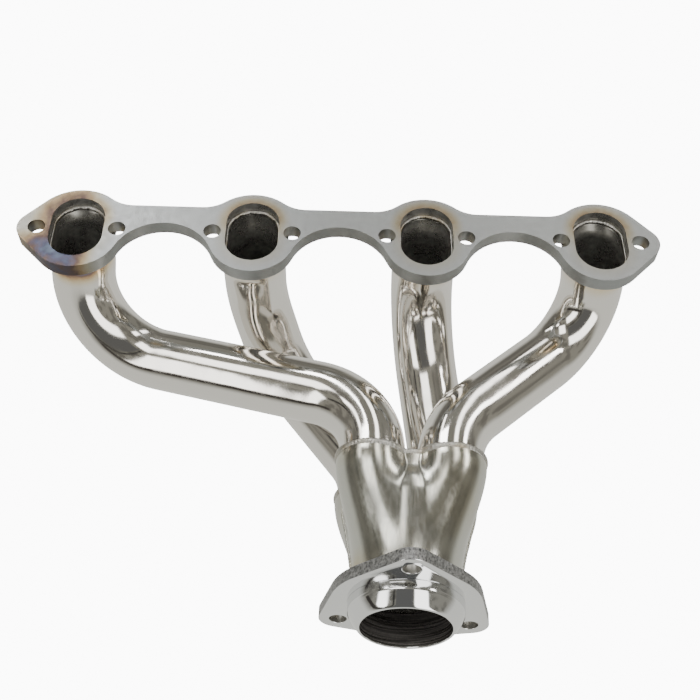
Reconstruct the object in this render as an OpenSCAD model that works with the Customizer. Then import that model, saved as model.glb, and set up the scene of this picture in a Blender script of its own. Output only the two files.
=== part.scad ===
// Four-into-one exhaust header with a three-bolt ball outlet.
// Millimetres. +X runs along the ports, -Y faces the cylinder head, +Z is up.
// The origin is the middle of the mating face, on the line of the bolt holes.

/* [Head flange] */
// Thickness of the head flange plate
flange_thick = 9.5; // [8:0.1:10]
// Radius of the eight bolt holes
bolt_hole_r = 5.55; // [5:0.05:6]
// Half width of a port opening
port_half_w = 16.93; // [16:0.01:17.2]
// Half height of a port opening
port_half_h = 23.94; // [23:0.01:24.2]

/* [Primary tubes] */
// Outside radius of a primary tube
tube_r = 20.65; // [20.2:0.05:20.65]
// Wall thickness of a primary tube
tube_wall = 1.6; // [1.2:0.1:2]

/* [Collector] */
// Wall thickness of the collector shell
shell_wall = 1.5; // [1.2:0.1:1.6]
// Outside radius of the collector neck
neck_r = 32.5; // [32.2:0.1:33.5]

/* [Outlet] */
// Thickness of the outlet plate
plate_thick = 7.8; // [7:0.1:8.4]
// Radius of the three outlet bolt holes
plate_hole_r = 5.35; // [5:0.05:5.8]
// Radius of the gas bore in the ball seat
ball_bore_r = 26.96; // [26:0.01:27.2]

/* [Node] */
// Which piece to show

/* [Hidden] */

// port centres along X, the height of the port centres and the bolt offset
port_x = [-166.875, -55.625, 55.625, 166.875];
port_z = 0.8;
bolt_dx = 25.4;
bore_r = tube_r - tube_wall;

// outlet: face centre, tilt, bolt circle and ball sizes
outlet_pos = [44.66, 84.64, -212.38];
outlet_tilt = [176.45, 1.55, 0];
outlet_bolt_r = 45.85;
ball_base_r = 34.7;
ball_height = 14.7;
spigot_r = 30.2;

// collector: rim height above the outlet face, lobe centres and lobe radius
rim_h = 83.5;
lobe_x = 0.9;
lobe_d = 24.3;
lobe_r = tube_r + 0.1 + shell_wall;
valley_r = 37;
body_h = rim_h - plate_thick;

// ---------------------------------------------------------------- vectors
function unit(v) = v / norm(v);
function leg_dir(v, i) = unit(v[i + 1] - v[i]);
function turn(v, i) = acos(leg_dir(v, i - 1) * leg_dir(v, i));
function cut_back(v, r, i) = (i == 0 || i == len(v) - 1) ? 0 : r[i - 1] * tan(turn(v, i) / 2);
function rx(p, a) = [p[0], p[1] * cos(a) - p[2] * sin(a), p[1] * sin(a) + p[2] * cos(a)];
function ry(p, a) = [p[0] * cos(a) + p[2] * sin(a), p[1], p[2] * cos(a) - p[0] * sin(a)];
function from_outlet(p) = ry(rx(p, outlet_tilt[0]), outlet_tilt[1]) + outlet_pos;

// a point on the axis of lobe sx, sy, at height h above the outlet face
function lobe_pt(sx, sy, h) = from_outlet([lobe_x + sx * lobe_d, sy * lobe_d, -h]);

// tube centrelines: corner points, bend radii and the length of the oval stub
tube_end = rim_h - 4.5;
path_1 = [
  [port_x[0], flange_thick, port_z], [port_x[0], 26, port_z], [-175, 94, -24],
  lobe_pt(-1, 1, rim_h + 43), lobe_pt(-1, 1, tube_end)
];
path_2 = [
  [port_x[1], flange_thick, port_z], [port_x[1], 67, port_z], [-37.4, 121, -25.3],
  lobe_pt(-1, -1, rim_h + 21), lobe_pt(-1, -1, tube_end)
];
path_3 = [
  [port_x[2], flange_thick, port_z], [port_x[2], 82, port_z],
  lobe_pt(1, -1, rim_h + 20), lobe_pt(1, -1, tube_end)
];
path_4 = [
  [port_x[3], flange_thick, port_z], [port_x[3], 24, port_z], [174.2, 82, -9.4],
  lobe_pt(1, 1, rim_h + 26), lobe_pt(1, 1, tube_end)
];
stub_len = [7, 20, 12, 7];

function tube_path(k) = k == 0 ? path_1 : k == 1 ? path_2 : k == 2 ? path_3 : path_4;
function tube_bends(k) = k == 0 ? [45, 53, 50] : k == 1 ? [68, 45, 46] : k == 2 ? [70, 60] : [46, 44, 58];

// ---------------------------------------------------------------- tube rings
RING = 28;
BEND_STEP = 10;
weld_h = 4.2;
function smooth(x) = let (t = min(1, max(0, x))) t * t * (3 - 2 * t);

// a direction carried round a bend from direction a to direction b
function carry(u, a, b) = u - (a + b) * ((u * b) / (1 + a * b));

// the frame at the start of leg i: two directions across the leg
function frame(v, i) = i == 0 ? [[1, 0, 0], [0, 0, 1]] :
  let (f = frame(v, i - 1), a = leg_dir(v, i - 1), b = leg_dir(v, i)) [carry(f[0], a, b), carry(f[1], a, b)];

// rings are [centre, across, up, roundness]; 0 is the port shape and 1 is a circle
function stub_rings(v, len) = [for (y = [0, weld_h, len * 0.8, len])
  [v[0] + leg_dir(v, 0) * y, [1, 0, 0], [0, 0, 1], smooth(y / len)]];

function bend_rings(v, bends, i) = let (
    a = leg_dir(v, i - 1),
    b = leg_dir(v, i),
    f = frame(v, i - 1),
    ang = acos(a * b),
    n = unit(b - a * (a * b)),
    r = bends[i - 1],
    c = v[i] - a * r * tan(ang / 2) + n * r,
    steps = ceil(ang / BEND_STEP)
  ) [for (k = [0 : steps]) let (
    q = ang * k / steps,
    d = a * cos(q) + n * sin(q)
  ) [c + (a * sin(q) - n * cos(q)) * r, carry(f[0], a, d), carry(f[1], a, d), 1]];

function tube_rings(v, bends, len) = let (n = len(v) - 1, f = frame(v, n - 1)) concat(
  stub_rings(v, len),
  [for (i = [1 : n - 1]) each bend_rings(v, bends, i)],
  [[v[n], f[0], f[1], 1]]
);

// a point of the section at angle a: port shape grown by g, blended to a circle
function section_pt(a, g, w) = let (
    side = port_half_h - port_half_w,
    lift = abs(sin(a)) < 0.001 ? 0 : side * sign(sin(a)),
    pw = port_half_w + g,
    cr = bore_r + g
  ) [cos(a) * (pw * (1 - w) + cr * w), (lift + pw * sin(a)) * (1 - w) + cr * sin(a) * w];

function ring_pts(ring, g) = [for (j = [0 : RING - 1])
  let (p = section_pt(j * 360 / RING, g, ring[3])) ring[0] + ring[1] * p[0] + ring[2] * p[1]];

function wrap_faces(n, base, swap) = [for (i = [0 : n - 2], j = [0 : RING - 1]) let (
    a = base + i * RING + j,
    b = base + i * RING + (j + 1) % RING,
    c = a + RING,
    d = b + RING
  ) each swap ? [[a, c, b], [b, c, d]] : [[a, b, c], [b, d, c]]];

module primary_tube(k) {
  rings = tube_rings(tube_path(k), tube_bends(k), stub_len[k]);
  n = len(rings);
  m = n * RING;
  last = m - RING;
  pts = concat([for (r = rings) each ring_pts(r, tube_wall)], [for (r = rings) each ring_pts(r, 0)]);
  faces = concat(
    wrap_faces(n, 0, false),
    wrap_faces(n, m, true),
    [for (j = [0 : RING - 1]) let (b = (j + 1) % RING) each [[j, m + j, b], [b, m + j, m + b]]],
    [for (j = [0 : RING - 1]) let (b = (j + 1) % RING)
      each [[last + j, last + b, m + last + j], [last + b, m + last + b, m + last + j]]]
  );
  color([0.78, 0.76, 0.72]) polyhedron(points = pts, faces = faces, convexity = 8);
}

// ---------------------------------------------------------------- port shapes
module stadium(half_w, half_h) {
  translate([-half_w, -(half_h - half_w)]) square([2 * half_w, 2 * (half_h - half_w)]);
  for (s = [-1, 1]) translate([0, s * (half_h - half_w)]) circle(r = half_w, $fn = 96);
}

// a flat shape standing in the XZ plane at port k, from y0 over a length
module at_port(k, y0, len) {
  translate([port_x[k], y0 + len, port_z]) rotate([90, 0, 0]) linear_extrude(height = len) children();
}

// bead between the flange and a tube: section points are [distance behind the flange, growth]
bead_section = [[0, 0], [0, 4.2], [1.2, 3.8], [3.1, 1.7], [weld_h, 0]];

module port_weld_outer(k) {
  m = len(bead_section);
  pts = [for (q = bead_section, j = [0 : RING - 1]) let (
      p = section_pt(j * 360 / RING, tube_wall + q[1], smooth(q[0] / stub_len[k]))
    ) [port_x[k] + p[0], flange_thick + q[0], port_z + p[1]]];
  faces = concat(
    wrap_faces(m, 0, false),
    [for (j = [0 : RING - 1]) let (b = (j + 1) % RING, e = (m - 1) * RING)
      each [[j, e + j, b], [b, e + j, e + b]]]
  );
  color([0.55, 0.50, 0.46]) polyhedron(points = pts, faces = faces, convexity = 4);
}

module port_weld_inner(k) {
  color([0.45, 0.42, 0.40])
    at_port(k, flange_thick - 3, 3)
      difference() {
        stadium(port_half_w, port_half_h);
        stadium(port_half_w - 1.1, port_half_h - 1.1);
      }
}

// ---------------------------------------------------------------- head flange
top_lobe = [2.13, 30];
low_lobe = [-4.4, 27.5];
arch_r = 32.4;
arch_z = -26.6;
bar_z = 20.2;
blend_r = 23;
tip_r = 12.5;
tip_x = port_x[3] + bolt_dx;

function arc(c, r, a0, a1, n) = [for (i = [0 : n]) c + r * [cos(a0 + (a1 - a0) * i / n), sin(a0 + (a1 - a0) * i / n)]];
function rev(v) = [for (i = [len(v) - 1 : -1 : 0]) v[i]];
function flip(v) = [for (p = v) [-p[0], p[1]]];

// top blend between a lobe and the bar
blend_z = bar_z + blend_r;
blend_dx = sqrt(pow(top_lobe[1] + blend_r, 2) - pow(blend_z - top_lobe[0], 2));
blend_a = atan2(blend_z - top_lobe[0], blend_dx);
// bottom tangent angle between a lobe and an arch
arch_a = atan2(arch_z - low_lobe[0], 55.625);
// tangent angles from the end lobes to the end tips
top_v = [tip_x - port_x[3], -top_lobe[0]];
top_t = atan2(top_v[1], top_v[0]) + acos((top_lobe[1] - tip_r) / norm(top_v));
low_v = [tip_x - port_x[3], -low_lobe[0]];
low_t = atan2(low_v[1], low_v[0]) - acos((low_lobe[1] - tip_r) / norm(low_v));

// the right half of the outline, from the middle of the top to the middle of the bottom
function top_half() = concat(
  arc([port_x[2] - blend_dx, blend_z], blend_r, 270, 360 - blend_a, 8),
  arc([port_x[2], top_lobe[0]], top_lobe[1], 180 - blend_a, blend_a, 16),
  arc([port_x[2] + blend_dx, blend_z], blend_r, 180 + blend_a, 270, 8),
  arc([port_x[3] - blend_dx, blend_z], blend_r, 270, 360 - blend_a, 8),
  arc([port_x[3], top_lobe[0]], top_lobe[1], 180 - blend_a, top_t, 16)
);
function end_tip() = arc([tip_x, 0], tip_r, top_t, low_t, 18);
function low_half() = concat(
  arc([port_x[3], low_lobe[0]], low_lobe[1], low_t, -180 - arch_a, 16),
  arc([111.25, arch_z], arch_r, -arch_a, 180 + arch_a, 20),
  arc([port_x[2], low_lobe[0]], low_lobe[1], arch_a, -180 - arch_a, 16),
  arc([0, arch_z], arch_r, -arch_a, 86, 9)
);
function outline_right() = concat(top_half(), end_tip(), low_half());

module head_flange() {
  half = outline_right();
  color([0.66, 0.66, 0.66])
    translate([0, flange_thick, 0])
      rotate([90, 0, 0])
        linear_extrude(height = flange_thick)
          difference() {
            polygon(concat(half, rev(flip(half))));
            for (k = [0 : 3]) translate([port_x[k], port_z]) stadium(port_half_w, port_half_h);
            for (x = port_x, s = [-1, 1]) translate([x + s * bolt_dx, 0]) circle(r = bolt_hole_r, $fn = 64);
          }
}

// ---------------------------------------------------------------- collector
// outlet frame: z = 0 is the outlet face, -z climbs towards the tubes
module in_outlet() {
  translate(outlet_pos) rotate(outlet_tilt) children();
}

STEP_A = 5;
rows = [0, 5, 9, 14, 20, 27, 34, 41, 48, 55, 62, body_h - 5, body_h];
function shift_x(h) = lobe_x * (1 - smooth((h - 5) / (body_h - 10)));
function settle(h) = let (t = min(1, max(0, (h - 5) / (body_h - 10)))) 0.35 * t + 0.65 * smooth(t);

// outline of the four lobes with the valleys filled to radius v
function lobed(a, r, v) = let (
    f = (a % 90) - 45,
    d = lobe_d * sqrt(2),
    q = r * r - pow(d * sin(f), 2)
  ) q <= 0 ? v : max(v, d * cos(f) + sqrt(q));

function shell_r(a, h, g) = let (
    v = valley_r + 7 * smooth((h - 5) / 22) - g,
    s = settle(h)
  ) lobed(a, lobe_r - g, v) * (1 - s) + (neck_r - g) * s;

function shell_pt(a, h, g) = let (r = shell_r(a, h, g)) [shift_x(h) + r * cos(a), r * sin(a), h - rim_h];

function angles(a0, a1) = [for (i = [0 : (a1 - a0) / STEP_A]) a0 + i * STEP_A];

// quads of a grid of m columns and n rows, both sides and the four edges
function sheet(m, n, base, swap) = [
  for (i = [0 : n - 2], j = [0 : m - 2])
    let (a = base + i * m + j, b = a + 1, c = a + m, d = c + 1)
      each swap ? [[a, b, c], [b, d, c]] : [[a, c, b], [b, c, d]]
];

function half_points(a0) = concat(
  [for (h = rows) each [for (a = angles(a0, a0 + 180)) shell_pt(a, h, 0)]],
  [for (h = rows) each [for (a = angles(a0, a0 + 180)) shell_pt(a, h, shell_wall)]]
);

function half_faces(m, n) = concat(
  sheet(m, n, 0, true),
  sheet(m, n, m * n, false),
  [for (j = [0 : m - 2]) each let (a = j, b = j + 1, c = m * n + j) [[a, c, b], [b, c, c + 1]]],
  [for (j = [0 : m - 2]) each let (a = (n - 1) * m + j, b = a + 1, c = m * n + a) [[a, b, c], [b, c + 1, c]]],
  [for (i = [0 : n - 2]) each let (a = i * m, b = a + m, c = m * n + a) [[a, b, c], [b, c + m, c]]],
  [for (i = [0 : n - 2]) each let (a = i * m + m - 1, b = a + m, c = m * n + a) [[a, c, b], [b, c, c + m]]]
);

module collector_half(a0) {
  m = 180 / STEP_A + 1;
  color([0.70, 0.67, 0.62])
    in_outlet() polyhedron(points = half_points(a0), faces = half_faces(m, len(rows)), convexity = 6);
}

// a bead along the side seam: it lies on the outside of both halves
function seam_points(a0) = concat(
  [for (h = rows) each [for (a = [a0 - STEP_A, a0, a0 + STEP_A]) shell_pt(a + 360, h, 0)]],
  [for (h = rows) each [for (q = [[-0.75, 0.7], [0, 1.2], [0.75, 0.7]])
    shell_pt(a0 + 360 + q[0] * STEP_A, h, -q[1])]]
);

module seam(a0) {
  color([0.62, 0.56, 0.48])
    in_outlet() polyhedron(points = seam_points(a0), faces = half_faces_out(3, len(rows)), convexity = 4);
}

function half_faces_out(m, n) = [for (f = half_faces(m, n)) [f[0], f[2], f[1]]];

// weld around the collector rim: section points are [offset from the outside, height]
rim_section = [[-shell_wall, 0], [0, 0], [0, 1.5], [1, 0.4], [0.7, -1.6], [-shell_wall + 0.2, -2.3]];
module rim_ring() {
  n = 360 / STEP_A;
  m = len(rim_section);
  pts = [for (i = [0 : n - 1], q = rim_section)
    let (a = i * STEP_A, p = shell_pt(a, 0, -q[0])) [p[0], p[1], q[1] - rim_h]];
  faces = [for (i = [0 : n - 1], j = [0 : m - 1])
    let (a = i * m + j, b = i * m + (j + 1) % m, c = ((i + 1) % n) * m + j, d = ((i + 1) % n) * m + (j + 1) % m)
      each [[a, b, c], [b, d, c]]];
  polyhedron(points = pts, faces = faces, convexity = 6);
}

module collector_rim_weld() {
  color([0.60, 0.54, 0.46]) in_outlet() rim_ring();
}

// star plate that closes the gap between the four tubes at the rim
module merge_plate() {
  color([0.60, 0.58, 0.55])
    in_outlet()
      translate([lobe_x, 0, 1 - rim_h])
        linear_extrude(height = 2)
          difference() {
            circle(r = valley_r - shell_wall - 0.1, $fn = 128);
            for (x = [-1, 1], y = [-1, 1])
              translate([x * lobe_d, y * lobe_d]) circle(r = tube_r + 0.05, $fn = 96);
          }
}

// ---------------------------------------------------------------- outlet
plate_disc_r = 45.2;
plate_ear_r = 11.9;
ear_t = acos((plate_disc_r - plate_ear_r) / outlet_bolt_r);

function plate_outline() = [for (k = [0 : 2]) each let (a = 90 + 120 * k) concat(
  arc(outlet_bolt_r * [cos(a), sin(a)], plate_ear_r, a - ear_t, a + ear_t, 12),
  arc([0, 0], plate_disc_r, a + ear_t, a + 120 - ear_t, 6)
)];

module outlet_plate() {
  color([0.72, 0.72, 0.73])
    in_outlet()
      translate([0, 0, -plate_thick])
        linear_extrude(height = plate_thick)
          difference() {
            polygon(plate_outline());
            circle(r = spigot_r, $fn = 128);
            for (k = [0 : 2])
              rotate(90 + 120 * k) translate([outlet_bolt_r, 0]) circle(r = plate_hole_r, $fn = 64);
          }
}

module ball_seat() {
  color([0.76, 0.76, 0.77])
    in_outlet()
      rotate_extrude($fn = 128)
        union() {
          intersection() {
            translate([0, -11.6]) circle(r = 38.8, $fn = 128);
            translate([ball_bore_r, 0]) square([ball_base_r - ball_bore_r, ball_height]);
          }
          translate([ball_bore_r, -1]) square([spigot_r - ball_bore_r, 1]);
          translate([28, -plate_thick]) square([spigot_r - 28, plate_thick]);
        }
}

module outlet_neck_weld() {
  z = -plate_thick;
  color([0.60, 0.54, 0.46])
    in_outlet()
      rotate_extrude($fn = 128)
        polygon([
          [neck_r, z], [neck_r + 3.8, z], [neck_r + 3.1, z - 1.9],
          [neck_r + 1.2, z - 3.6], [neck_r, z - 4.2]
        ]);
}

head_flange();
primary_tube(0);  // primary_tube_1
primary_tube(1);  // primary_tube_2
primary_tube(2);  // primary_tube_3
primary_tube(3);  // primary_tube_4
port_weld_outer(0);  // port_weld_outer_1
port_weld_outer(1);  // port_weld_outer_2
port_weld_outer(2);  // port_weld_outer_3
port_weld_outer(3);  // port_weld_outer_4
port_weld_inner(0);  // port_weld_inner_1
port_weld_inner(1);  // port_weld_inner_2
port_weld_inner(2);  // port_weld_inner_3
port_weld_inner(3);  // port_weld_inner_4
collector_half(0);  // collector_front_half
collector_half(180);  // collector_rear_half
seam(180);  // collector_seam_weld_left
seam(0);  // collector_seam_weld_right
collector_rim_weld();
merge_plate();
outlet_plate();
ball_seat();
outlet_neck_weld();
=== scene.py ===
"""Looks of a four-into-one exhaust header: head flange, bent tubes, collector and ball outlet."""

import math

import bpy
from mathutils import Matrix, Vector, noise


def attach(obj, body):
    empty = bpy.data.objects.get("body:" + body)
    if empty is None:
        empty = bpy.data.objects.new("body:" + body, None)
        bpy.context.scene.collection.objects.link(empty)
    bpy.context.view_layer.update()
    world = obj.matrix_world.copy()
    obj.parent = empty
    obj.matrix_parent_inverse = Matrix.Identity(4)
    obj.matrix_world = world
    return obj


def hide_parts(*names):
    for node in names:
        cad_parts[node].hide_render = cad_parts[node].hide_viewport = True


bl_info = {
    "name": "Exhaust header",
    "version": (1, 0, 0),
    "blender": (4, 5, 0),
    "location": "View3D > Sidebar > Header",
    "description": "Builds the visible pieces of a tubular exhaust header and its studio",
    "category": "Add Mesh",
}

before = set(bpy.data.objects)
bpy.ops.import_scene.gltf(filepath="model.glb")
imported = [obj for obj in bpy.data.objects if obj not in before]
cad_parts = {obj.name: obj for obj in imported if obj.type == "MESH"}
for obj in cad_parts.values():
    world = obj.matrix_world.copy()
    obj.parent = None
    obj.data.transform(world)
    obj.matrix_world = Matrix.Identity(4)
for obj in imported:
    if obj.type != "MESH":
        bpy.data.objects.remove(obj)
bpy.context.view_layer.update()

# Sizes below are in millimetres, in the CAD model's own frame.
MM = 0.001
PORT_X = (-166.875, -55.625, 55.625, 166.875)
PORT_Z = 0.8
PORT_HALF_W = 16.93
PORT_HALF_H = 23.94
FLANGE_THICK = 9.5
BOLT_X = [x + s * 25.4 for x in PORT_X for s in (-1, 1)]
BOLT_R = 5.55
TUBE_R = 20.65
TUBE_WALL = 1.6
OUTLET = Vector((44.66, 84.64, -212.38))
OUTLET_TURN = Matrix.Rotation(math.radians(1.55), 3, "Y") @ Matrix.Rotation(math.radians(176.45), 3, "X")
RIM_H = 83.5
LOBE_X = 0.9
LOBE_D = 24.3
SHELL_WALL = 1.5
LOBE_R = TUBE_R + 0.1 + SHELL_WALL
VALLEY_R = 37.0
NECK_R = 32.5
PLATE_THICK = 7.8
BODY_H = RIM_H - PLATE_THICK
STUB_LEN = (7, 20, 12, 7)
WELD_H = 4.2
EAR_D = 45.85
EAR_ANGLES = (90, 210, 330)
BALL_R = 38.8
BALL_Z = -11.6
BORE_R = 26.96
EYE = (0, -0.50685, -0.44711)
EYE_YAW = 0.01549
EYE_PITCH = 0.61396
EYE_ROLL = 0.0170
LENS = 54.33


# ------------------------------------------------------------------ settings
class HeaderSizes(bpy.types.PropertyGroup):
    hole_chamfer: bpy.props.FloatProperty(
        name="Hole chamfer", description="Width of the chamfer on each bolt hole", default=0.0006, unit="LENGTH"
    )
    edge_round: bpy.props.FloatProperty(
        name="Edge round", description="Rounding of the outer edges of the plates", default=0.0005, unit="LENGTH"
    )
    ripple: bpy.props.FloatProperty(
        name="Weld ripple", description="Height of the ripples on the weld beads", default=0.00028, unit="LENGTH"
    )


class HeaderColours(bpy.types.PropertyGroup):
    polished: bpy.props.FloatVectorProperty(
        name="Polished tube", description="Colour of the polished tubes", subtype="COLOR", default=(0.80, 0.775, 0.735)
    )
    satin: bpy.props.FloatVectorProperty(
        name="Satin collector", description="Colour of the collector", subtype="COLOR", default=(0.54, 0.54, 0.495)
    )
    plate: bpy.props.FloatVectorProperty(
        name="Head flange", description="Colour of the bare head flange", subtype="COLOR", default=(0.33, 0.34, 0.34)
    )
    plated: bpy.props.FloatVectorProperty(
        name="Outlet plating", description="Colour of the plated outlet", subtype="COLOR", default=(0.78, 0.785, 0.79)
    )
    floor: bpy.props.FloatVectorProperty(
        name="Floor", description="Colour of the studio floor", subtype="COLOR", default=(0.86, 0.86, 0.855)
    )


# ------------------------------------------------------------------ curves of the real pieces
def smooth(x):
    t = min(1.0, max(0.0, x))
    return t * t * (3 - 2 * t)


def from_outlet(x, y, z):
    """A point of the outlet's own frame, whose z points out of the outlet."""
    return OUTLET_TURN @ Vector((x, y, z)) + OUTLET


def lobe_point(side, front, height):
    return from_outlet(LOBE_X + side * LOBE_D, front * LOBE_D, -height)


def tube_corners():
    end = RIM_H - 4.5
    starts = [Vector((x, FLANGE_THICK, PORT_Z)) for x in PORT_X]
    return [
        ([starts[0], Vector((PORT_X[0], 26, PORT_Z)), Vector((-175, 94, -24)),
          lobe_point(-1, 1, RIM_H + 43), lobe_point(-1, 1, end)], (45, 53, 50)),
        ([starts[1], Vector((PORT_X[1], 67, PORT_Z)), Vector((-37.4, 121, -25.3)),
          lobe_point(-1, -1, RIM_H + 21), lobe_point(-1, -1, end)], (68, 45, 46)),
        ([starts[2], Vector((PORT_X[2], 82, PORT_Z)),
          lobe_point(1, -1, RIM_H + 20), lobe_point(1, -1, end)], (70, 60)),
        ([starts[3], Vector((PORT_X[3], 24, PORT_Z)), Vector((174.2, 82, -9.4)),
          lobe_point(1, 1, RIM_H + 26), lobe_point(1, 1, end)], (46, 44, 58)),
    ]


def carry(u, a, b):
    """Turns u, which lies across direction a, so that it lies across direction b."""
    return u - (a + b) * (u.dot(b) / (1 + a.dot(b)))


def tube_stations(corners, bends, step=2.4):
    """Centre, across, up and distance at every few millimetres of a tube's centreline."""
    ways = [(b - a).normalized() for a, b in zip(corners, corners[1:])]
    cuts = [0.0]
    for i in range(1, len(corners) - 1):
        turn = math.acos(max(-1, min(1, ways[i - 1].dot(ways[i]))))
        cuts.append(bends[i - 1] * math.tan(turn / 2))
    cuts.append(0.0)
    across, up = Vector((1, 0, 0)), Vector((0, 0, 1))
    out, run = [], 0.0
    for i, way in enumerate(ways):
        a = corners[i] + way * cuts[i]
        b = corners[i + 1] - way * cuts[i + 1]
        length = (b - a).length
        count = max(2, round(length / step))
        for k in range(count + 1):
            if k == 0 and out:
                continue
            out.append((a.lerp(b, k / count), across.copy(), up.copy(), run + length * k / count))
        run += length
        if i == len(ways) - 1:
            break
        nxt = ways[i + 1]
        turn = math.acos(max(-1, min(1, way.dot(nxt))))
        inward = (nxt - way * way.dot(nxt)).normalized()
        centre = b + inward * bends[i]
        count = max(4, round(bends[i] * turn / step))
        for k in range(1, count + 1):
            q = turn * k / count
            d = way * math.cos(q) + inward * math.sin(q)
            place = centre + (way * math.sin(q) - inward * math.cos(q)) * bends[i]
            out.append((place, carry(across, way, d), carry(up, way, d), run + bends[i] * q))
        run += bends[i] * turn
        across, up = carry(across, way, nxt), carry(up, way, nxt)
    return out


def port_outline(turn, grow, roundness):
    """A point of the port shape grown by some millimetres and blended to the round tube."""
    side = PORT_HALF_H - PORT_HALF_W
    s, c = math.sin(turn), math.cos(turn)
    lift = 0.0 if abs(s) < 1e-4 else math.copysign(side, s)
    w, r = PORT_HALF_W + grow, TUBE_R - TUBE_WALL + grow
    return (
        c * (w * (1 - roundness) + r * roundness),
        (lift + w * s) * (1 - roundness) + r * s * roundness,
    )


def lobed(turn, radius, valley, blend=2.5):
    """Distance from the collector's axis to the outline of four lobes with filled valleys."""
    f = (math.degrees(turn) % 90) - 45
    d = LOBE_D * math.sqrt(2)
    q = radius * radius - (d * math.sin(math.radians(f))) ** 2
    if q <= 0:
        return valley
    lobe = d * math.cos(math.radians(f)) + math.sqrt(q)
    near = max(0.0, 1 - abs(lobe - valley) / blend)
    return max(valley, lobe) + 0.25 * blend * near * near


def shell_point(turn, depth, grow, climb=0.0):
    """A point of the collector's outside at a depth below its rim, moved out by grow."""
    t = min(1.0, max(0.0, (depth - 5) / (BODY_H - 10)))
    settle = 0.35 * t + 0.65 * smooth(t)
    valley = VALLEY_R + 7 * smooth((depth - 5) / 22) + grow
    r = lobed(turn, LOBE_R + grow, valley, 2 + 6 * smooth(depth / 12)) * (1 - settle) + (NECK_R + grow) * settle
    return from_outlet(LOBE_X * (1 - smooth(t)) + r * math.cos(turn), r * math.sin(turn), depth - RIM_H - climb)


# ------------------------------------------------------------------ modelling helpers
def nothing_selected():
    if bpy.context.object and bpy.context.object.mode != "OBJECT":
        bpy.ops.object.mode_set(mode="OBJECT")
    bpy.ops.object.select_all(action="DESELECT")


def settle_mesh():
    """Welds the seam of the active mesh and turns its faces outwards."""
    bpy.ops.object.mode_set(mode="EDIT")
    bpy.ops.mesh.select_all(action="SELECT")
    bpy.ops.mesh.remove_doubles(threshold=0.00001)
    bpy.ops.mesh.normals_make_consistent(inside=False)
    bpy.ops.object.mode_set(mode="OBJECT")


def wrap_grid(name, columns, rows, place):
    """A grid sheet wrapped into its final form: place(u, v) gives each point in millimetres."""
    nothing_selected()
    bpy.ops.mesh.primitive_grid_add(x_subdivisions=columns, y_subdivisions=rows, size=1)
    obj = bpy.context.object
    obj.name = obj.data.name = name
    for v in obj.data.vertices:
        v.co = Vector(place(v.co.x + 0.5, v.co.y + 0.5)) * MM
    settle_mesh()
    bpy.ops.object.shade_smooth()
    return obj


def apply_modifier(obj, kind, **settings):
    mod = obj.modifiers.new(kind.title(), kind)
    for key, value in settings.items():
        setattr(mod, key, value)
    bpy.context.view_layer.objects.active = obj
    bpy.ops.object.modifier_apply(modifier=mod.name)


def make_wall(obj, thickness, outside, inside):
    """Gives a sheet its thickness, with one finish outside and another inside."""
    obj.data.materials.append(outside)
    obj.data.materials.append(inside)
    apply_modifier(
        obj, "SOLIDIFY", thickness=thickness * MM, offset=-1, use_rim=True, use_even_offset=True,
        material_offset=1, material_offset_rim=0
    )


def outward(obj, is_out):
    """Flips an open sheet whose faces look the wrong way; is_out tests a face."""
    face = obj.data.polygons[len(obj.data.polygons) // 2]
    if not is_out(face.center / MM, face.normal):
        bpy.ops.object.mode_set(mode="EDIT")
        bpy.ops.mesh.select_all(action="SELECT")
        bpy.ops.mesh.flip_normals()
        bpy.ops.object.mode_set(mode="OBJECT")


def hand_over(obj, nodes, slot, *finishes):
    """Gives a finished piece its finishes and its body, and hides the CAD nodes that it stands for."""
    for finish in finishes:
        obj.data.materials.append(finish)
    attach(obj, "root")
    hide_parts(*nodes)


def plate_from(node, name):
    """A clean copy of a flat CAD plate, ready for its edges to be broken."""
    nothing_selected()
    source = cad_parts[node]
    source.select_set(True)
    bpy.context.view_layer.objects.active = source
    bpy.ops.object.duplicate()
    obj = bpy.context.object
    obj.parent = None
    obj.matrix_world = Matrix()
    obj.name = obj.data.name = name
    obj.data.materials.clear()
    if obj.data.has_custom_normals:
        bpy.ops.mesh.customdata_custom_splitnormals_clear()
    bpy.ops.object.mode_set(mode="EDIT")
    bpy.ops.mesh.select_all(action="SELECT")
    bpy.ops.mesh.remove_doubles(threshold=0.000005)
    bpy.ops.mesh.dissolve_limited(angle_limit=math.radians(0.4))
    bpy.ops.object.mode_set(mode="OBJECT")
    return obj


def break_edges(obj, width_of, segments=1):
    """Bevels the edges for which width_of gives a share of the widest bevel."""
    weights = obj.data.attributes.new("bevel_weight_edge", "FLOAT", "EDGE")
    widest = 0.0
    shares = []
    for edge in obj.data.edges:
        a, b = (obj.data.vertices[i].co for i in edge.vertices)
        width = width_of(a / MM, b / MM)
        shares.append(width)
        widest = max(widest, width)
    for k, width in enumerate(shares):
        weights.data[k].value = width / widest
    apply_modifier(obj, "BEVEL", limit_method="WEIGHT", width=widest, segments=segments, use_clamp_overlap=True)
    nothing_selected()
    obj.select_set(True)
    bpy.context.view_layer.objects.active = obj
    bpy.ops.object.shade_smooth_by_angle(angle=math.radians(32))


# ------------------------------------------------------------------ finishes
def new_group(name, inputs, outputs):
    tree = bpy.data.node_groups.new(name, "ShaderNodeTree")
    for label, kind, value in inputs:
        socket = tree.interface.new_socket(name=label, in_out="INPUT", socket_type=kind)
        socket.default_value = value
    for label, kind in outputs:
        tree.interface.new_socket(name=label, in_out="OUTPUT", socket_type=kind)
    return tree, tree.nodes.new("NodeGroupInput"), tree.nodes.new("NodeGroupOutput")


def put(tree, kind, **settings):
    """Adds a node with its settings."""
    node = tree.nodes.new(kind)
    for key, value in settings.items():
        setattr(node, key, value)
    return node


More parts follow.
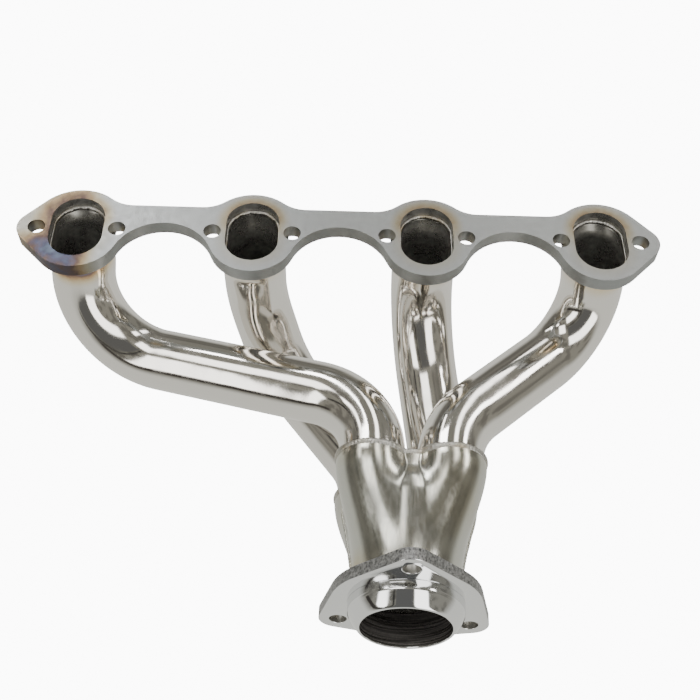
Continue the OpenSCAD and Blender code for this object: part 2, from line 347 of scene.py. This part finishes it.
def feed(tree, node, **values):
    """Gives sockets, by name or as i and a number, a value or a link."""
    for key, value in values.items():
        numbered = key[0] == "i" and key[1:].isdigit()
        socket = node.inputs[int(key[1:])] if numbered else node.inputs[key.replace("_", " ")]
        if isinstance(value, bpy.types.NodeSocket):
            tree.links.new(value, socket)
        else:
            socket.default_value = value
    return node


def maths(tree, operation, a, b=0.0, c=0.0):
    node = put(tree, "ShaderNodeMath", operation=operation)
    feed(tree, node, i0=a, i1=b, i2=c)
    return node.outputs[0]


def spread(tree, value, low, high, to_low=0.0, to_high=1.0):
    node = put(tree, "ShaderNodeMapRange", interpolation_type="SMOOTHSTEP")
    feed(tree, node, Value=value, From_Min=low, From_Max=high, To_Min=to_low, To_Max=to_high)
    return node.outputs[0]


def blend_colour(tree, share, a, b, way="MIX"):
    node = put(tree, "ShaderNodeMix", data_type="RGBA", blend_type=way)
    feed(tree, node, i0=share, i6=a, i7=b)
    return node.outputs[2]


def cloudy(tree, vector, scale, detail=3.0, rough=0.5):
    node = put(tree, "ShaderNodeTexNoise")
    feed(tree, node, Vector=vector, Scale=scale, Detail=detail, Roughness=rough)
    return node.outputs["Fac"]


def stretched(tree, vector, scale, turn=(0, 0, 0)):
    node = put(tree, "ShaderNodeMapping")
    feed(tree, node, Vector=vector, Scale=scale, Rotation=turn)
    return node.outputs["Vector"]


def make_grain_group():
    """Fine scratches and a slow wave, as polishing leaves them on steel."""
    tree, given, result = new_group(
        "Polishing marks",
        [
            ("Position", "NodeSocketVector", (0, 0, 0)),
            ("Fine", "NodeSocketFloat", 900.0),
            ("Slow", "NodeSocketFloat", 22.0),
        ],
        [("Height", "NodeSocketFloat"), ("Smear", "NodeSocketFloat")],
    )
    fine = cloudy(tree, given.outputs["Position"], given.outputs["Fine"], 2.0)
    slow = cloudy(tree, given.outputs["Position"], given.outputs["Slow"], 2.0, 0.4)
    height = maths(tree, "ADD", slow, maths(tree, "MULTIPLY", fine, 0.012))
    tree.links.new(height, result.inputs["Height"])
    smear = cloudy(tree, given.outputs["Position"], 55.0, 4.0, 0.65)
    tree.links.new(spread(tree, smear, 0.35, 0.75), result.inputs["Smear"])
    return tree


def make_tint_group():
    """Heat colours of bare steel: straw, brown, purple and blue as the heat rises."""
    tree, given, result = new_group(
        "Heat colours",
        [
            ("Heat", "NodeSocketFloat", 0.0),
            ("Steel", "NodeSocketColor", (0.6, 0.6, 0.6, 1)),
            ("Position", "NodeSocketVector", (0, 0, 0)),
        ],
        [("Color", "NodeSocketColor")],
    )
    ragged = cloudy(tree, given.outputs["Position"], 130.0, 4.0, 0.6)
    heat = maths(tree, "MULTIPLY", given.outputs["Heat"], spread(tree, ragged, 0.2, 0.7, 0.78, 1.06))
    ramp = put(tree, "ShaderNodeValToRGB")
    feed(tree, ramp, Fac=heat)
    stops = [(0.0, (1, 1, 1, 1)), (0.25, (0.93, 0.82, 0.62, 1)), (0.45, (0.70, 0.50, 0.30, 1)),
             (0.62, (0.30, 0.20, 0.17, 1)), (0.80, (0.22, 0.22, 0.33, 1)), (1.0, (0.34, 0.43, 0.54, 1))]
    ramp.color_ramp.elements[0].position, ramp.color_ramp.elements[0].color = stops[0]
    ramp.color_ramp.elements[1].position, ramp.color_ramp.elements[1].color = stops[-1]
    for place, colour in stops[1:-1]:
        ramp.color_ramp.elements.new(place).color = colour
    mixed = blend_colour(tree, 1.0, given.outputs["Steel"], ramp.outputs["Color"], "MULTIPLY")
    tree.links.new(mixed, result.inputs["Color"])
    return tree


def start_finish(name):
    mat = bpy.data.materials.new(name)
    mat.use_nodes = True
    tree = mat.node_tree
    shader = tree.nodes["Principled BSDF"]
    place = put(tree, "ShaderNodeTexCoord").outputs["Object"]
    parts = put(tree, "ShaderNodeSeparateXYZ")
    feed(tree, parts, Vector=place)
    return mat, tree, shader, place, parts


def use_group(tree, group, **values):
    node = put(tree, "ShaderNodeGroup")
    node.node_tree = group
    return feed(tree, node, **values)


def raise_bumps(tree, shader, height, strength, distance):
    bump = put(tree, "ShaderNodeBump")
    feed(tree, bump, Height=height, Strength=strength, Distance=distance)
    tree.links.new(bump.outputs["Normal"], shader.inputs["Normal"])


def port_distance(tree, parts):
    """Distance in metres outside the nearest port opening."""
    x = maths(tree, "ABSOLUTE", maths(tree, "SUBTRACT", maths(tree, "ABSOLUTE", parts.outputs["X"]), 0.11125))
    dx = maths(tree, "ABSOLUTE", maths(tree, "SUBTRACT", x, 0.055625))
    dz = maths(tree, "ABSOLUTE", maths(tree, "SUBTRACT", parts.outputs["Z"], PORT_Z * MM))
    dz = maths(tree, "MAXIMUM", maths(tree, "SUBTRACT", dz, (PORT_HALF_H - PORT_HALF_W) * MM), 0.0)
    r = maths(tree, "SQRT", maths(tree, "ADD", maths(tree, "MULTIPLY", dx, dx), maths(tree, "MULTIPLY", dz, dz)))
    return maths(tree, "SUBTRACT", r, PORT_HALF_W * MM)


def make_finishes(colours):
    grain, tints = make_grain_group(), make_tint_group()
    made = {}

    mat, tree, shader, place, parts = start_finish("Polished tube")
    marks = use_group(tree, grain, Position=place, Fine=700.0, Slow=26.0)
    near = spread(tree, parts.outputs["Y"], 0.018, 0.034, 1.0, 0.0)
    end_one = spread(tree, parts.outputs["X"], -0.140, -0.165)
    end_four = spread(tree, parts.outputs["X"], 0.150, 0.170)
    ends = maths(tree, "ADD", maths(tree, "MULTIPLY", end_one, 0.85), maths(tree, "MULTIPLY", end_four, 0.24))
    heat = maths(tree, "MULTIPLY", near, maths(tree, "ADD", 0.16, ends))
    colour = use_group(tree, tints, Heat=heat, Steel=(*colours.polished, 1), Position=place)
    feed(tree, shader, Base_Color=colour.outputs["Color"], Metallic=1.0,
         Roughness=spread(tree, marks.outputs["Smear"], 0.0, 1.0, 0.08, 0.16))
    raise_bumps(tree, shader, marks.outputs["Height"], 0.35, 0.0016)
    made["polished"] = mat

    mat, tree, shader, place, parts = start_finish("Satin collector")
    streak = cloudy(tree, stretched(tree, place, (1.0, 1.0, 0.03)), 900.0, 2.0, 0.5)
    marks = use_group(tree, grain, Position=place, Fine=500.0, Slow=34.0)
    low = spread(tree, parts.outputs["Z"], -0.180, -0.202)
    rim = spread(tree, parts.outputs["Z"], -0.142, -0.130)
    left = spread(tree, parts.outputs["X"], 0.026, 0.010)
    low_left = maths(tree, "MULTIPLY", maths(tree, "MULTIPLY", low, left), 0.42)
    heat = maths(tree, "MAXIMUM", low_left, maths(tree, "MULTIPLY", rim, 0.06))
    blotch = spread(tree, cloudy(tree, place, 30.0, 3.0), 0.45, 0.70)
    heat = maths(tree, "MAXIMUM", heat, maths(tree, "MULTIPLY", blotch, 0.08))
    colour = use_group(tree, tints, Heat=heat, Steel=(*colours.satin, 1), Position=place)
    feed(tree, shader, Base_Color=colour.outputs["Color"], Metallic=1.0,
         Roughness=spread(tree, streak, 0.3, 0.7, 0.17, 0.25))
    height = maths(tree, "ADD", maths(tree, "MULTIPLY", streak, 0.005), marks.outputs["Height"])
    raise_bumps(tree, shader, height, 0.18, 0.0010)
    made["satin"] = mat

    mat, tree, shader, place, parts = start_finish("Bare head flange")
    away = port_distance(tree, parts)
    upper = spread(tree, parts.outputs["Z"], -0.008, 0.014, 0.25, 1.0)
    ring = maths(tree, "MULTIPLY", spread(tree, away, 0.0, 0.0085, 1.0, 0.0), upper)
    first = spread(tree, parts.outputs["X"], -0.148, -0.168)
    low = spread(tree, parts.outputs["Z"], 0.004, -0.014)
    blue = maths(tree, "MULTIPLY", maths(tree, "MULTIPLY", first, low), spread(tree, away, 0.003, 0.018, 0.86, 0.50))
    outer = maths(tree, "MULTIPLY", first, spread(tree, away, 0.0, 0.016, 0.62, 0.12))
    heat = maths(tree, "MAXIMUM", maths(tree, "MULTIPLY", ring, 0.40), maths(tree, "MAXIMUM", blue, outer))
    colour = use_group(tree, tints, Heat=heat, Steel=(*colours.plate, 1), Position=place)
    mottled = cloudy(tree, place, 210.0, 5.0, 0.6)
    shade = spread(tree, mottled, 0.2, 0.8, 0.90, 1.06)
    grey = put(tree, "ShaderNodeCombineColor")
    feed(tree, grey, Red=shade, Green=shade, Blue=shade)
    feed(tree, shader, Base_Color=blend_colour(tree, 1.0, colour.outputs["Color"], grey.outputs["Color"], "MULTIPLY"),
         Metallic=1.0, Roughness=spread(tree, mottled, 0.25, 0.75, 0.36, 0.50))
    grit = maths(tree, "MULTIPLY", cloudy(tree, place, 1500.0, 2.0), 0.5)
    raise_bumps(tree, shader, maths(tree, "ADD", mottled, grit), 0.18, 0.0003)
    made["flange"] = mat

    mat, tree, shader, place, parts = start_finish("Weld bead")
    lumps = cloudy(tree, place, 420.0, 4.0, 0.65)
    heat = spread(tree, cloudy(tree, place, 60.0), 0.45, 0.8, 0.0, 0.30)
    colour = use_group(tree, tints, Heat=heat, Steel=(0.50, 0.49, 0.46, 1), Position=place)
    feed(tree, shader, Base_Color=colour.outputs["Color"], Metallic=1.0,
         Roughness=spread(tree, lumps, 0.3, 0.7, 0.26, 0.46))
    raise_bumps(tree, shader, lumps, 0.6, 0.0005)
    made["weld"] = mat

    mat, tree, shader, place, parts = start_finish("Plated outlet")
    marks = use_group(tree, grain, Position=place, Fine=1200.0, Slow=18.0)
    feed(tree, shader, Base_Color=(*colours.plated, 1), Metallic=1.0,
         Roughness=spread(tree, marks.outputs["Smear"], 0.0, 1.0, 0.06, 0.15))
    raise_bumps(tree, shader, marks.outputs["Height"], 0.16, 0.0008)
    made["plated"] = mat

    mat, tree, shader, place, parts = start_finish("Hammered plate edge")
    dents = cloudy(tree, place, 620.0, 4.0, 0.7)
    tone = spread(tree, dents, 0.3, 0.7)
    feed(tree, shader, Base_Color=blend_colour(tree, tone, (0.10, 0.10, 0.10, 1), (0.46, 0.46, 0.46, 1)), Metallic=1.0,
         Roughness=spread(tree, dents, 0.3, 0.7, 0.30, 0.50))
    raise_bumps(tree, shader, dents, 0.9, 0.0007)
    made["edge"] = mat

    # Dark inside finish: soot inside the tubes, ports and collector, and painted shade on the walls of the outlet's
    # bolt holes.
    mat, tree, shader, place, parts = start_finish("Soot and painted shade inside")
    soot_and_shade = cloudy(tree, place, 90.0, 5.0, 0.65)
    tone = spread(tree, soot_and_shade, 0.35, 0.7)
    feed(tree, shader, Base_Color=blend_colour(tree, tone, (0.20, 0.195, 0.175, 1), (0.38, 0.37, 0.34, 1)),
         Metallic=0.74, Roughness=spread(tree, soot_and_shade, 0.3, 0.7, 0.24, 0.38))
    raise_bumps(tree, shader, soot_and_shade, 0.12, 0.0004)
    made["soot_and_shade"] = mat

    # Bore inside the outlet: lathe rings on a near-black colour, which is painted shade of the deep bore.
    mat, tree, shader, place, parts = start_finish("Turned bore with painted shade")
    rings = cloudy(tree, stretched(tree, place, (0.02, 0.02, 1.0)), 900.0, 3.0, 0.6)
    tone = spread(tree, rings, 0.35, 0.7)
    feed(tree, shader, Base_Color=blend_colour(tree, tone, (0.035, 0.032, 0.029, 1), (0.17, 0.16, 0.15, 1)),
         Metallic=0.7, Roughness=spread(tree, rings, 0.3, 0.7, 0.25, 0.42))
    raise_bumps(tree, shader, rings, 0.4, 0.0004)
    made["bore"] = mat
    return made


FINISHES = {}


def finish(name):
    if not FINISHES:
        FINISHES.update(make_finishes(bpy.context.scene.header_colours))
    return FINISHES[name]


# ------------------------------------------------------------------ pieces
class HEADER_OT_head_flange(bpy.types.Operator):
    """Head flange: the plate with its holes chamfered and its edges broken"""

    bl_idname = "header.head_flange"
    bl_label = "Head flange"

    def execute(self, context):
        sizes = context.scene.header_sizes
        obj = plate_from("head_flange", "head_flange_plate")

        borders = border_edges(obj)

        def width(a, b):
            if abs(a.y - b.y) > 0.01 or min(abs(a.y), abs(a.y - FLANGE_THICK)) > 0.01:
                return 0.0
            for x in BOLT_X:
                if all(abs(math.hypot(v.x - x, v.z) - BOLT_R) < 0.08 for v in (a, b)):
                    return sizes.hole_chamfer
            middle = (a + b) / 2
            for x in PORT_X:
                if abs(middle.x - x) < PORT_HALF_W + 0.3 and abs(middle.z - PORT_Z) < PORT_HALF_H + 0.3:
                    both = on_port_edge(a, x) and on_port_edge(b, x)
                    return sizes.edge_round * 0.7 if both else 0.0
            return sizes.edge_round if edge_key(a, b) in borders else 0.0

        break_edges(obj, width, 1)
        obj.data.materials.append(finish("flange"))
        obj.data.materials.append(finish("soot_and_shade"))
        for face in obj.data.polygons:
            mid = face.center / MM
            if abs(face.normal.y) < 0.3 and any(on_port_edge(mid, x, 0.6) for x in PORT_X):
                face.material_index = 1
        hand_over(obj, ["head_flange"], "flange_steel")
        return {"FINISHED"}


def edge_key(a, b):
    return tuple(sorted([tuple(round(c, 3) for c in a), tuple(round(c, 3) for c in b)]))


def border_edges(obj):
    """Edges where a plate's face meets one of its side walls."""
    mesh = obj.data
    flat = {}
    for face in mesh.polygons:
        for key in face.edge_keys:
            flat.setdefault(key, []).append(face.normal.copy())
    found = set()
    for key, normals in flat.items():
        if len(normals) == 2 and abs(normals[0].dot(normals[1])) < 0.5:
            a, b = (mesh.vertices[i].co / MM for i in key)
            found.add(edge_key(a, b))
    return found


def on_port_edge(p, x, slack=0.1):
    dz = max(0.0, abs(p.z - PORT_Z) - (PORT_HALF_H - PORT_HALF_W))
    return abs(math.hypot(p.x - x, dz) - PORT_HALF_W) < slack


class HEADER_OT_primary_tubes(bpy.types.Operator):
    """Four primary tubes, oval at the port and round from there on"""

    bl_idname = "header.primary_tubes"
    bl_label = "Primary tubes"

    def execute(self, context):
        for k, (corners, bends) in enumerate(tube_corners()):
            stations = tube_stations(corners, bends)
            last = len(stations) - 1

            def place(u, v, stations=stations, last=last, k=k):
                centre, across, up, run = stations[round(v * last)]
                x, z = port_outline(u * math.tau, TUBE_WALL, smooth(run / STUB_LEN[k]))
                return centre + across * x + up * z

            obj = wrap_grid(f"tube_{k + 1}", 72, last, place)
            centres = [station[0] for station in stations]

            def faces_out(c, n, centres=centres):
                return n.dot(c - min(centres, key=lambda p: (p - c).length)) > 0

            outward(obj, faces_out)
            make_wall(obj, TUBE_WALL, finish("polished"), finish("soot_and_shade"))
            hand_over(obj, [f"primary_tube_{k + 1}"], "tube_polished")
        return {"FINISHED"}


class HEADER_OT_port_welds(bpy.types.Operator):
    """Welds that join each tube to the flange, outside and inside the port"""

    bl_idname = "header.port_welds"
    bl_label = "Port welds"

    def execute(self, context):
        ripple = context.scene.header_sizes.ripple / MM
        for k, port in enumerate(PORT_X):
            def outer(u, v, port=port, k=k):
                turn = v * math.tau
                wave = 1 + ripple * 0.5 * abs(math.sin(v * 92 * math.pi)) + 0.12 * noise.noise(Vector((port, v * 9, 1)))
                if u < 0.5:
                    grow, depth = 4.0 * wave * math.cos(u * math.pi) ** 1.3, WELD_H * math.sin(u * math.pi)
                elif u < 0.75:
                    grow, depth = 0.0, WELD_H * (3 - 4 * u)
                else:
                    grow, depth = 4.0 * wave * (4 * u - 3), 0.0
                x, z = port_outline(turn, TUBE_WALL + grow, smooth(depth / STUB_LEN[k]))
                return Vector((port + x, FLANGE_THICK + depth, PORT_Z + z))

            obj = wrap_grid(f"port_weld_{k + 1}", 14, 368, outer)
            hand_over(obj, [f"port_weld_outer_{k + 1}"], "weld_steel", finish("weld"))

            def inner(u, v, port=port):
                turn, a = v * math.tau, u * math.tau
                rough = 1 + 0.55 * noise.noise(Vector((port, v * 34, 4))) + 0.25 * abs(math.sin(v * 60 * math.pi))
                push = 0.55 + (0.55 + 0.7 * smooth(math.sin(turn))) * rough * math.cos(a)
                x, z = port_outline(turn, -max(0.0, push), 0.0)
                return Vector((port + x, FLANGE_THICK - 1.5 + 1.5 * math.sin(a), PORT_Z + z))

            obj = wrap_grid(f"port_root_{k + 1}", 12, 300, inner)
            hand_over(obj, [f"port_weld_inner_{k + 1}"], "weld_steel", finish("weld"))
        return {"FINISHED"}


class HEADER_OT_collector(bpy.types.Operator):
    """Collector: two formed halves that run from four lobes to a round neck"""

    bl_idname = "header.collector"
    bl_label = "Collector"

    def execute(self, context):
        for name, start, node in (
            ("collector_front", 0.0, "collector_front_half"),
            ("collector_rear", math.pi, "collector_rear_half"),
        ):
            def place(u, v, start=start):
                return shell_point(start + u * math.pi, v * BODY_H, 0.0)

            obj = wrap_grid(name, 120, 48, place)
            outward(obj, lambda c, n: n.dot(c - from_outlet(0, 0, -40)) > 0)
            make_wall(obj, SHELL_WALL, finish("satin"), finish("soot_and_shade"))
            hand_over(obj, [node], "collector_brushed")
        return {"FINISHED"}


class HEADER_OT_collector_welds(bpy.types.Operator):
    """Welds of the collector: round the rim, down both seams and round the neck"""

    bl_idname = "header.collector_welds"
    bl_label = "Collector welds"

    def execute(self, context):
        ripple = context.scene.header_sizes.ripple / MM

        def rim(u, v):
            turn, a = v * math.tau, u * math.tau
            rough = 1 + 0.35 * noise.noise(Vector((v * 26, 3, 7))) + ripple * abs(math.sin(v * 150 * math.pi))
            return shell_point(turn, 0.0, -0.35 + 1.05 * rough * math.cos(a), 0.4 + 1.7 * rough * math.sin(a))

        obj = wrap_grid("collector_rim_bead", 12, 720, rim)
        hand_over(obj, ["collector_rim_weld"], "weld_steel", finish("weld"))

        for name, turn, node in (
            ("seam_bead_left", math.pi, "collector_seam_weld_left"),
            ("seam_bead_right", 0.0, "collector_seam_weld_right"),
        ):
            def seam(u, v, turn=turn):
                a = u * math.tau
                wave = 1 + ripple * abs(math.sin(v * 34 * math.pi)) + 0.15 * noise.noise(Vector((v * 14, turn, 2)))
                ends = max(0.001, min(1.0, v * 30, (1 - v) * 30))
                across = 0.055 * math.cos(a) * wave * ends
                return shell_point(turn + across, 1 + v * (BODY_H - 6), 0.9 * wave * math.sin(a) * ends)

            obj = wrap_grid(name, 12, 150, seam)
            hand_over(obj, [node], "weld_steel", finish("satin"))

        def neck(u, v):
            turn, a = v * math.tau, u * math.tau
            wave = 1 + ripple * 0.8 * abs(math.sin(v * 70 * math.pi)) + 0.08 * noise.noise(Vector((v * 12, 5, 2)))
            r = NECK_R + max(0.0, 1.6 + 1.9 * wave * math.cos(a))
            z = -PLATE_THICK - max(0.0, 1.9 + 2.1 * wave * math.sin(a))
            return from_outlet(r * math.cos(turn), r * math.sin(turn), z)

        obj = wrap_grid("neck_bead", 14, 300, neck)
        hand_over(obj, ["outlet_neck_weld"], "weld_steel", finish("weld"))
        return {"FINISHED"}


class HEADER_OT_merge_plate(bpy.types.Operator):
    """Merge plate: the CAD star plate keeps its shape and gets the sooty finish"""

    bl_idname = "header.merge_plate"
    bl_label = "Merge plate"

    def execute(self, context):
        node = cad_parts["merge_plate"]
        node.data.materials.clear()
        node.data.materials.append(finish("soot_and_shade"))
        return {"FINISHED"}


class HEADER_OT_outlet(bpy.types.Operator):
    """Outlet: the three-bolt plate and the turned ball in it"""

    bl_idname = "header.outlet"
    bl_label = "Outlet"

    def execute(self, context):
        sizes = context.scene.header_sizes
        obj = plate_from("outlet_plate", "outlet_flange_plate")
        back = OUTLET_TURN.transposed()
        borders = border_edges(obj)
        ears = [(EAR_D * math.cos(math.radians(a)), EAR_D * math.sin(math.radians(a))) for a in EAR_ANGLES]

        def width(a, b):
            if edge_key(a, b) not in borders:
                return 0.0
            p, q = back @ (a - OUTLET), back @ (b - OUTLET)
            if abs(p.z - q.z) > 0.05:
                return 0.0
            if min(math.hypot(p.x, p.y), math.hypot(q.x, q.y)) < 31:
                return 0.0
            if any(math.hypot(p.x - x, p.y - y) < 5.6 for x, y in ears):
                return sizes.hole_chamfer
            return sizes.edge_round * 1.6

        break_edges(obj, width, 3)
        obj.data.materials.append(finish("plated"))
        obj.data.materials.append(finish("edge"))
        # Third finish: the dark inside finish, used here as painted shade on the bolt-hole walls.
        obj.data.materials.append(finish("soot_and_shade"))
        axis = OUTLET_TURN @ Vector((0, 0, 1))
        for face in obj.data.polygons:
            p = back @ (face.center / MM - OUTLET)
            outside = all(math.hypot(p.x - x, p.y - y) > 6.5 for x, y in ears)
            if abs(face.normal.dot(axis)) < 0.6 and outside and math.hypot(p.x, p.y) > 34:
                face.material_index = 1
            elif abs(face.normal.dot(axis)) < 0.3 and not outside:
                # Walls of the bolt holes: a dark colour painted in as the shade inside the holes.
                face.material_index = 2
        hand_over(obj, ["outlet_plate"], "outlet_plated")

        profile = [(28.0, -PLATE_THICK), (28.0, -1.0), (BORE_R, -0.6), (BORE_R, 13.9)]
        profile += [(27.2, 14.5), (27.7, 14.7), (28.3, 14.6)]
        profile += [(math.sqrt(BALL_R ** 2 - (z - BALL_Z) ** 2), z) for z in (14.1, 13.2, 12, 10.5, 9, 7.5, 6.4)]
        profile += [(34.62, 5.75), (34.7, 5.2), (34.7, 0.35), (34.4, 0.0), (30.2, 0.0), (30.2, -PLATE_THICK)]
        count = len(profile)
        nothing_selected()
        bpy.ops.mesh.primitive_circle_add(vertices=count, radius=0.01)
        ball = bpy.context.object
        ball.name = ball.data.name = "ball_seat_turned"
        for v, (r, z) in zip(ball.data.vertices, profile):
            v.co = Vector((r, 0, z)) * MM
        bpy.ops.object.mode_set(mode="EDIT")
        bpy.ops.mesh.select_all(action="SELECT")
        bpy.ops.mesh.spin(steps=160, angle=math.tau, center=(0, 0, 0), axis=(0, 0, 1))
        bpy.ops.mesh.select_all(action="SELECT")
        bpy.ops.mesh.remove_doubles(threshold=0.000005)
        bpy.ops.mesh.normals_make_consistent(inside=False)
        bpy.ops.object.mode_set(mode="OBJECT")
        for v in ball.data.vertices:
            v.co = from_outlet(*(v.co / MM)) * MM
        bpy.ops.object.shade_smooth_by_angle(angle=math.radians(28))
        ball.data.materials.append(finish("plated"))
        ball.data.materials.append(finish("bore"))
        # Faces inside the bore get the near-black finish, which is painted shade.
        for face in ball.data.polygons:
            p = back @ (face.center / MM - OUTLET)
            if math.hypot(p.x, p.y) < 28.2 and p.z < 13.8:
                face.material_index = 1
        hand_over(ball, ["ball_seat"], "outlet_plated")
        return {"FINISHED"}


# ------------------------------------------------------------------ studio
def soft_light(name, place, aim, size, power, colour=(1, 1, 1)):
    nothing_selected()
    bpy.ops.object.light_add(type="AREA", location=place)
    lamp = bpy.context.object
    lamp.name = name
    lamp.data.shape = "RECTANGLE"
    lamp.data.size, lamp.data.size_y = size
    lamp.data.energy = power
    lamp.data.color = colour
    lamp.rotation_euler = (Vector(aim) - Vector(place)).to_track_quat("-Z", "Y").to_euler()
    return lamp


def make_surroundings():
    """A studio round the header: pale behind it, a dim warm room in front and long soft boxes."""
    world = bpy.data.worlds.new("Studio")
    bpy.context.scene.world = world
    world.use_nodes = True
    tree = world.node_tree
    tree.nodes.clear()
    way = put(tree, "ShaderNodeTexCoord").outputs["Generated"]
    parts = put(tree, "ShaderNodeSeparateXYZ")
    feed(tree, parts, Vector=way)
    x, y, z = (parts.outputs[axis] for axis in "XYZ")
    side = maths(tree, "DEGREES", maths(tree, "ARCTAN2", x, maths(tree, "MULTIPLY", y, -1.0)))
    rise = maths(tree, "DEGREES", maths(tree, "ARCSINE", z))

    def window(value, low, high, soft):
        rising = spread(tree, value, low - soft, low + soft)
        return maths(tree, "MULTIPLY", rising, spread(tree, value, high - soft, high + soft, 1.0, 0.0))

    def panel(sides, rises, soft=2.0):
        return maths(tree, "MULTIPLY", window(side, *sides, soft), window(rise, *rises, soft))

    light = (1.0, 0.985, 0.95, 1)
    warm = (0.30, 0.29, 0.25, 1)
    sky = blend_colour(tree, spread(tree, rise, 15, 40), warm, (0.24, 0.235, 0.205, 1))
    blobs = spread(tree, cloudy(tree, stretched(tree, way, (1.0, 1.0, 1.6)), 2.4, 3.0, 0.55), 0.47, 0.56)
    sky = blend_colour(tree, maths(tree, "MULTIPLY", blobs, 0.62), sky, (0.10, 0.095, 0.085, 1))
    behind = spread(tree, y, -0.10, 0.25)
    sky = blend_colour(tree, behind, sky, (0.84, 0.84, 0.78, 1))
    front = spread(tree, y, 0.12, 0.04)
    low = spread(tree, z, -0.20, -0.28)
    low_front = maths(tree, "MULTIPLY", front, low)
    shadow = maths(tree, "MULTIPLY", window(y, -0.17, -0.05, 0.02), spread(tree, x, -0.40, -0.50))
    shadow = maths(tree, "MULTIPLY", shadow, low)
    lower_side = maths(tree, "MULTIPLY", low, window(y, -0.9, -0.22, 0.02))
    for place, colour in (
        (panel((-56, -52), (-10, 75), 1.2), (0.03, 0.03, 0.028, 1)),
        (maths(tree, "MULTIPLY", window(x, -0.36, 0.14, 0.02), low_front), (0.13, 0.13, 0.125, 1)),
        (maths(tree, "MULTIPLY", window(x, -0.44, -0.39, 0.015), low_front), (0.03, 0.03, 0.028, 1)),
        (shadow, (0.05, 0.045, 0.04, 1)),
    ):
        sky = blend_colour(tree, place, sky, colour)
    for place, power in (
        (panel((-34, -7), (-6, 14), 2.0), 4.0),
        (panel((10, 22), (16, 62), 1.5), 4.5),
        (panel((-45, -38), (14, 60), 1.0), 5.0),
        (maths(tree, "MULTIPLY", window(x, -0.79, -0.57, 0.02), lower_side), 4.0),
        (maths(tree, "MULTIPLY", window(x, 0.18, 0.56, 0.02), low_front), 4.0),
    ):
        sky = blend_colour(tree, place, sky, tuple(c * power for c in light[:3]) + (1,))
    lit = put(tree, "ShaderNodeBackground")
    feed(tree, lit, Color=sky, Strength=1.0)
    seen = put(tree, "ShaderNodeBackground")
    feed(tree, seen, Color=(1, 1, 1, 1), Strength=11.0)
    mix = put(tree, "ShaderNodeMixShader")
    rays = put(tree, "ShaderNodeLightPath")
    feed(tree, mix, i0=rays.outputs["Is Camera Ray"], i1=lit.outputs[0], i2=seen.outputs[0])
    tree.links.new(mix.outputs[0], put(tree, "ShaderNodeOutputWorld").inputs["Surface"])


class HEADER_OT_studio(bpy.types.Operator):
    """Studio: pale floor far below, soft lights and a camera that looks up at the ports"""

    bl_idname = "header.studio"
    bl_label = "Studio"

    def execute(self, context):
        make_surroundings()
        nothing_selected()
        bpy.ops.mesh.primitive_plane_add(size=40, location=(0, 0, -0.80))
        floor = bpy.context.object
        floor.name = "floor"
        mat, tree, shader, place, parts = start_finish("Studio floor")
        shade = spread(tree, cloudy(tree, place, 3.0), 0.3, 0.7)
        pale = (*context.scene.header_colours.floor, 1)
        feed(tree, shader, Base_Color=blend_colour(tree, shade, pale, (0.83, 0.83, 0.825, 1)), Roughness=0.7,
             Emission_Color=blend_colour(tree, shade, (1, 1, 1, 1), (0.96, 0.96, 0.955, 1)), Emission_Strength=1.2)
        floor.data.materials.append(mat)
        # the polish mirrors the painted studio instead of the floor
        floor.visible_glossy = False
        soft_light("key", (-0.5, -1.0, 0.9), (0, 0.05, -0.1), (0.5, 0.3), 5)
        soft_light("fill", (0.9, -0.7, 0.3), (0.05, 0.05, -0.1), (0.2, 0.6), 3, (1.0, 0.98, 0.95))
        cam = bpy.data.cameras.new("camera")
        cam.sensor_width = 36
        cam.lens = LENS
        cam.clip_end = 20
        eye = bpy.data.objects.new("camera", cam)
        context.scene.collection.objects.link(eye)
        level = math.cos(EYE_PITCH)
        ahead = Vector((math.sin(EYE_YAW) * level, math.cos(EYE_YAW) * level, math.sin(EYE_PITCH)))
        side = Vector((math.cos(EYE_YAW), -math.sin(EYE_YAW), 0))
        top = side.cross(ahead)
        right = side * math.cos(EYE_ROLL) + top * math.sin(EYE_ROLL)
        up = top * math.cos(EYE_ROLL) - side * math.sin(EYE_ROLL)
        turn = Matrix((right, up, -ahead)).transposed().to_4x4()
        eye.matrix_world = Matrix.Translation(EYE) @ turn
        context.scene.camera = eye
        return {"FINISHED"}


class HEADER_PT_panel(bpy.types.Panel):
    bl_idname = "HEADER_PT_panel"
    bl_label = "Exhaust header"
    bl_space_type = "VIEW_3D"
    bl_region_type = "UI"
    bl_category = "Header"

    def draw(self, context):
        for group in (context.scene.header_sizes, context.scene.header_colours):
            for key in group.__annotations__:
                self.layout.prop(group, key)
        for step in STEPS:
            self.layout.operator("header." + step)


STEPS = (
    "studio", "head_flange", "primary_tubes", "port_welds", "collector", "collector_welds", "merge_plate", "outlet",
)
CLASSES = (
    HeaderSizes, HeaderColours, HEADER_OT_head_flange, HEADER_OT_primary_tubes, HEADER_OT_port_welds,
    HEADER_OT_collector, HEADER_OT_collector_welds, HEADER_OT_merge_plate, HEADER_OT_outlet, HEADER_OT_studio,
    HEADER_PT_panel,
)


def register():
    for cls in CLASSES:
        bpy.utils.register_class(cls)
    bpy.types.Scene.header_sizes = bpy.props.PointerProperty(type=HeaderSizes)
    bpy.types.Scene.header_colours = bpy.props.PointerProperty(type=HeaderColours)


def unregister():
    del bpy.types.Scene.header_colours
    del bpy.types.Scene.header_sizes
    for cls in reversed(CLASSES):
        bpy.utils.unregister_class(cls)


def main():
    register()
    for step in STEPS:
        getattr(bpy.ops.header, step)()


if __name__ == "__main__":
    main()
